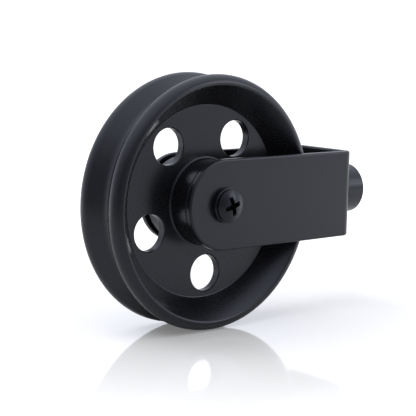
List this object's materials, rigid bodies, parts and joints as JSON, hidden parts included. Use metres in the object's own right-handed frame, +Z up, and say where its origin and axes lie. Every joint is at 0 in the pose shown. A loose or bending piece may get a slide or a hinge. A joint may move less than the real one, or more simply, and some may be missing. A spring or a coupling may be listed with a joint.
{
  "type": "rope pulley",
  "caption": "Grooved rope pulley with a holed web, turning on ball bearings in a black bent-steel fork with a threaded coupler.",
  "frame": {"origin": "centre of the wheel, on its axle and in the middle plane of its groove", "axes": "+X along the fork's arms, out of the coupler's threaded hole; +Y along the axle, towards its nut; +Z up"},
  "size_m": [0.1071, 0.0371, 0.08],
  "materials": {
    "wheel_coat": "satin black powder coat on cast aluminium",
    "fork_coat": "satin black powder coat on bent steel",
    "coupler_coat": "satin black coat on turned steel",
    "screw_black": "black oxide, slightly glossy",
    "plated_steel": "zinc plated, turned",
    "bearing_steel": "ground bearing steel",
    "ball_steel": "polished bearing steel",
    "shield_steel": "pressed sheet steel",
    "cage_nylon": "moulded nylon",
    "insert_nylon": "blue nylon"
  },
  "bodies": {
    "bracket": {"bracket": "fork_coat", "coupler": "coupler_coat", "coupler_nut": "plated_steel", "coupler_lock_washer": "plated_steel", "axle_screw": "screw_black", "axle_nut": "screw_black", "nut_insert": "insert_nylon", "front_washer": "screw_black", "rear_washer": "screw_black", "axle_sleeve": "plated_steel", "bearing_spacer": "plated_steel", "front_shim": "plated_steel", "rear_shim": "plated_steel", "front_bearing_inner_ring": "bearing_steel", "rear_bearing_inner_ring": "bearing_steel"},
    "wheel": {"sheave_wheel": "wheel_coat", "front_bearing_outer_ring": "bearing_steel", "front_bearing_inner_shield": "shield_steel", "front_bearing_outer_shield": "shield_steel", "rear_bearing_outer_ring": "bearing_steel", "rear_bearing_inner_shield": "shield_steel", "rear_bearing_outer_shield": "shield_steel"},
    "front_ball_train": {"front_ball_cage": "cage_nylon", "front_bearing_balls": "ball_steel"},
    "rear_ball_train": {"rear_ball_cage": "cage_nylon", "rear_bearing_balls": "ball_steel"}
  },
  "joints": [
    {"name": "wheel_spin", "type": "hinge", "parent": "bracket", "child": "wheel", "pos_m": [0, 0, 0], "axis": [0, 1, 0], "continuous": true},
    {"name": "front_cage_spin", "type": "hinge", "parent": "bracket", "child": "front_ball_train", "pos_m": [0, 0, 0], "axis": [0, 1, 0], "continuous": true},
    {"name": "rear_cage_spin", "type": "hinge", "parent": "bracket", "child": "rear_ball_train", "pos_m": [0, 0, 0], "axis": [0, 1, 0], "continuous": true}
  ],
  "couplings": [
    {"joint": "front_cage_spin", "follows": "wheel_spin", "ratio": 0.6323},
    {"joint": "rear_cage_spin", "follows": "wheel_spin", "ratio": 0.6323}
  ]
}
